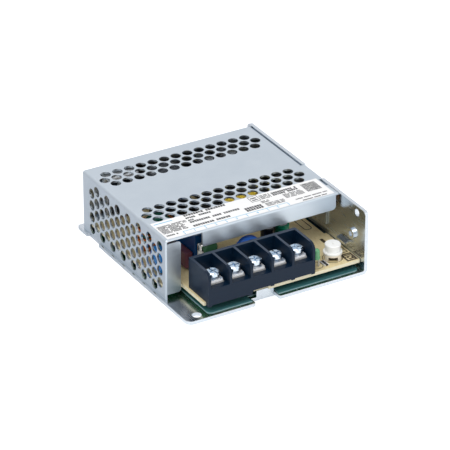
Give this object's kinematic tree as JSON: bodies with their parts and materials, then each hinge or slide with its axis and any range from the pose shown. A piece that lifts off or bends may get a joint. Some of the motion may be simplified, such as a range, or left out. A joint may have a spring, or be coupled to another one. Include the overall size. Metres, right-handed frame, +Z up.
{
  "type": "enclosed switching power supply",
  "caption": "Low enclosed power supply: bent chassis, perforated folded cover, screw terminal block, trimmer and lamp at the open front.",
  "frame": {"origin": "middle of the underside of the chassis plate", "axes": "+Z up from the plate, +Y to the back along the depth, -Y to the terminals"},
  "size_m": [0.088, 0.098, 0.03],
  "materials": {
    "chassis_metal": "mill-finished aluminium sheet, bright",
    "cover_metal": "zinc-coated steel sheet, satin",
    "label_film": null,
    "zinc_screw": "zinc-plated steel",
    "board": "tan laminate with black print",
    "film": "dark green translucent insulating film",
    "terminal_black": "black moulded thermoplastic",
    "tinned_brass": "tinned brass",
    "trimmer_base_plastic": "beige moulded plastic",
    "trimmer_rotor_plastic": "white moulded plastic",
    "lamp_green": "green tinted lens",
    "navy_box": "navy moulded case",
    "maroon_dip": "maroon moulded case",
    "blue_dip": "blue epoxy coating",
    "green_dip": "green epoxy coating",
    "ceramic_white": "white ceramic tube",
    "nickel_cap": "nickel-plated cap",
    "can_black": "black sleeve over an aluminium can",
    "can_green": "green sleeve over an aluminium can",
    "chip_black": "black moulding compound",
    "ferrite": "dark grey ferrite",
    "ring_green": "green coated ferrite ring",
    "copper_wire": "enamelled copper wire",
    "bobbin_black": "black phenolic moulding",
    "tape_yellow": "yellow polyester tape",
    "sink_metal": "bright aluminium sheet"
  },
  "bodies": {
    "supply": {"chassis": "chassis_metal", "cover": "cover_metal", "label": "label_film", "cover_screws": "zinc_screw", "circuit_board": "board", "insulating_film": "film", "board_screws": "zinc_screw", "terminal_block": "terminal_black", "terminal_contact_1": "tinned_brass", "terminal_contact_2": "tinned_brass", "terminal_contact_3": "tinned_brass", "terminal_contact_4": "tinned_brass", "terminal_contact_5": "tinned_brass", "terminal_clamps": "zinc_screw", "terminal_screws": "zinc_screw", "trimmer_base": "trimmer_base_plastic", "indicator_lamp": "lamp_green", "x_capacitor": "navy_box", "film_capacitor": "maroon_dip", "varistor": "blue_dip", "inrush_thermistor": "green_dip", "safety_capacitor_1": "blue_dip", "safety_capacitor_2": "blue_dip", "output_capacitor_1": "can_black", "output_capacitor_2": "can_green", "output_capacitor_3": "can_black", "output_capacitor_4": "can_black", "output_capacitor_5": "can_black", "auxiliary_capacitor": "can_black", "bulk_capacitor": "can_black", "controller_chip": "chip_black", "optocoupler_1": "chip_black", "optocoupler_2": "chip_black", "fuse": "ceramic_white", "fuse_cap": "nickel_cap", "bridge_rectifier": "chip_black", "choke_core": "ring_green", "choke_winding_left": "copper_wire", "choke_winding_right": "copper_wire", "transformer_core": "ferrite", "transformer_bobbin": "bobbin_black", "transformer_winding": "tape_yellow", "output_choke_core": "ferrite", "output_choke_winding": "copper_wire", "primary_heatsink": "sink_metal", "switching_transistor": "chip_black", "output_heatsink": "sink_metal", "output_diode": "chip_black", "sink_screws": "zinc_screw"},
    "trimmer": {"trimmer_rotor": "trimmer_rotor_plastic"}
  },
  "joints": [
    {"name": "trimmer_turn", "type": "hinge", "parent": "supply", "child": "trimmer", "pos_m": [0.03261, -0.0391, 0.0092], "axis": [0, 0, 1], "range_deg": [-130, 130]}
  ]
}
